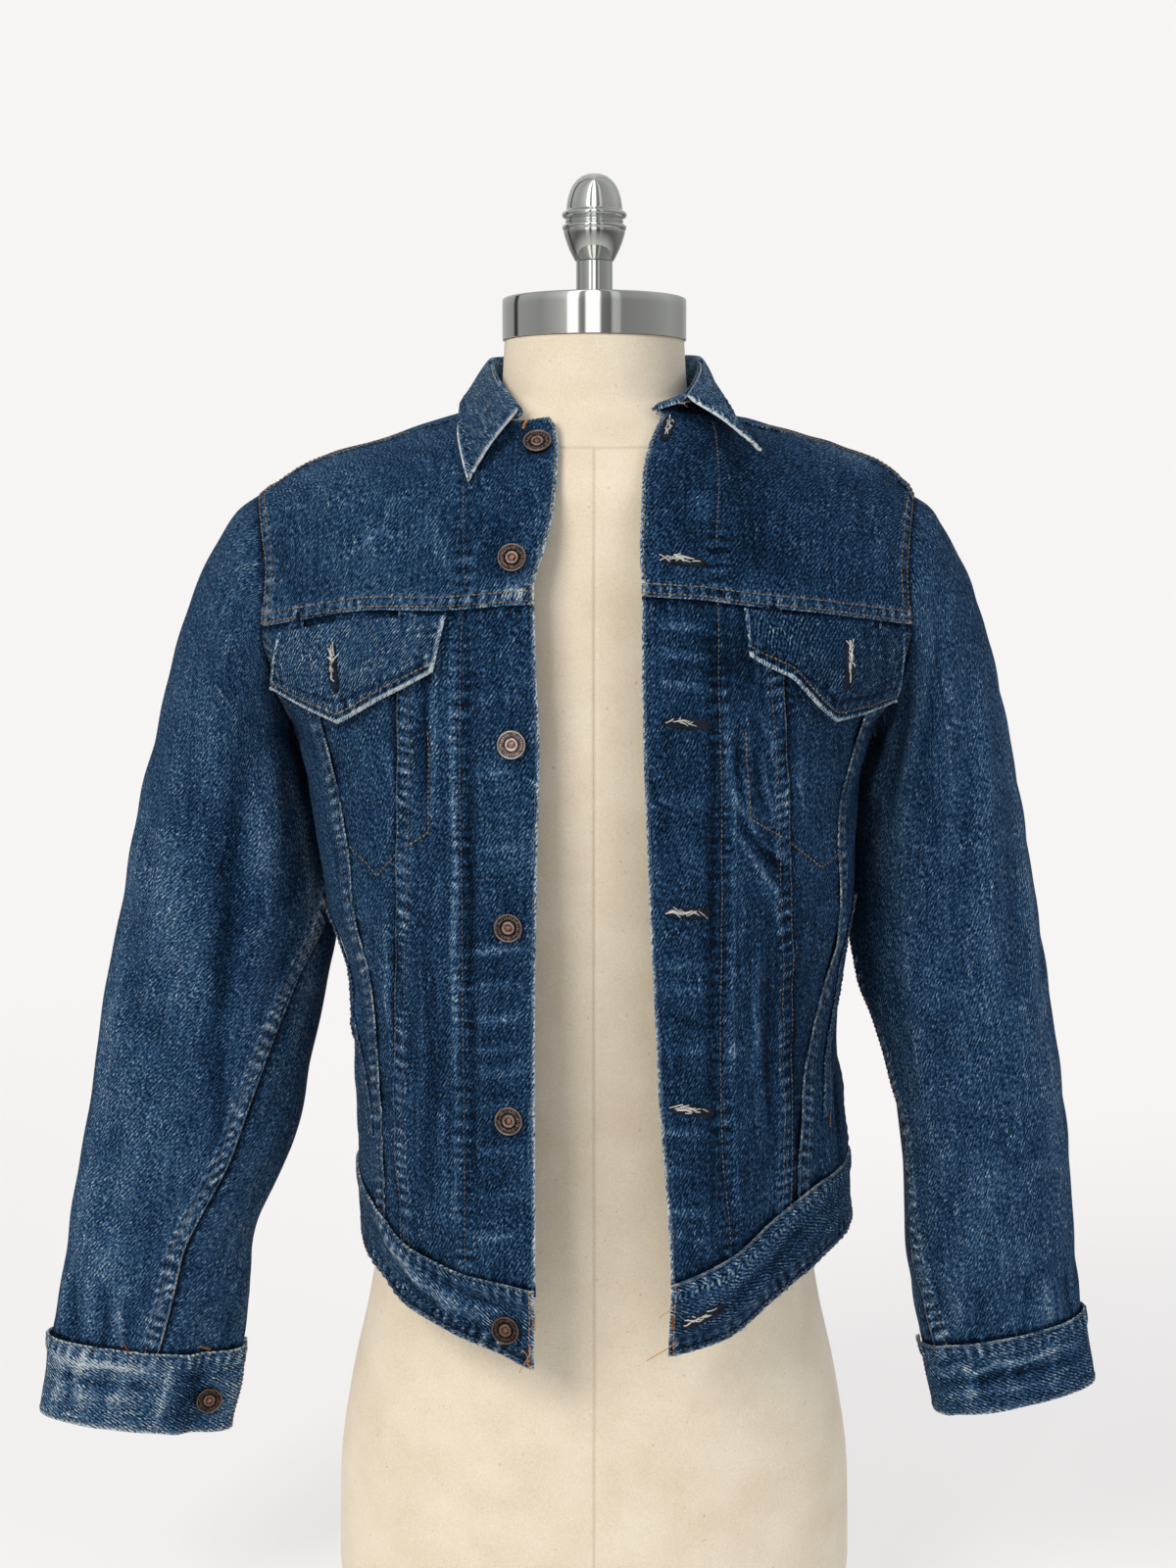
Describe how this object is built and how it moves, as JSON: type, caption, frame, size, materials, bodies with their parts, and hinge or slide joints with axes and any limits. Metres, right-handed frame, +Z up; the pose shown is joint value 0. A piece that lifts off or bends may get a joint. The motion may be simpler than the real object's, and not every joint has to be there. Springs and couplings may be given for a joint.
{
  "type": "denim jacket on a dress form",
  "caption": "Washed denim work jacket, hanging open with long sleeves, chest pocket flaps and waistband, worn by a limbless cotton dress form that stands on its flat base",
  "frame": {"origin": "centre of the dress form's flat underside", "axes": "+Z up, front towards -Y, the wearer's right at -X"},
  "size_m": [0.6838, 0.2747, 0.9394],
  "materials": {
    "washed_denim": "washed indigo twill, worn pale at the edges",
    "doubled_denim": "two layers of washed indigo twill",
    "form_cotton": "unbleached plain-woven cotton, pulled smooth",
    "aged_copper": "darkened copper with a satin shine",
    "polished_chrome": "mirror polish"
  },
  "bodies": {
    "root": {"back_center": "washed_denim", "back_side_left": "washed_denim", "back_side_right": "washed_denim", "back_yoke": "washed_denim", "button_cuff_left": "aged_copper", "button_cuff_right": "aged_copper", "button_flap_left": "aged_copper", "button_flap_right": "aged_copper", "button_front_1": "aged_copper", "button_front_2": "aged_copper", "button_front_3": "aged_copper", "button_front_4": "aged_copper", "button_front_5": "aged_copper", "button_front_6": "aged_copper", "collar": "doubled_denim", "cuff_left": "doubled_denim", "cuff_right": "doubled_denim", "finial": "polished_chrome", "form_torso": "form_cotton", "front_center_left": "washed_denim", "front_center_right": "washed_denim", "front_mid_left": "washed_denim", "front_mid_right": "washed_denim", "front_side_left": "washed_denim", "front_side_right": "washed_denim", "front_yoke_left": "washed_denim", "front_yoke_right": "washed_denim", "neck_cap": "polished_chrome", "pocket_flap_left": "doubled_denim", "pocket_flap_right": "doubled_denim", "pocket_welt_left": "doubled_denim", "pocket_welt_right": "doubled_denim", "pole": "polished_chrome", "sleeve_top_left": "washed_denim", "sleeve_top_right": "washed_denim", "sleeve_under_left": "washed_denim", "sleeve_under_right": "washed_denim", "waistband": "doubled_denim"}
  },
  "joints": []
}
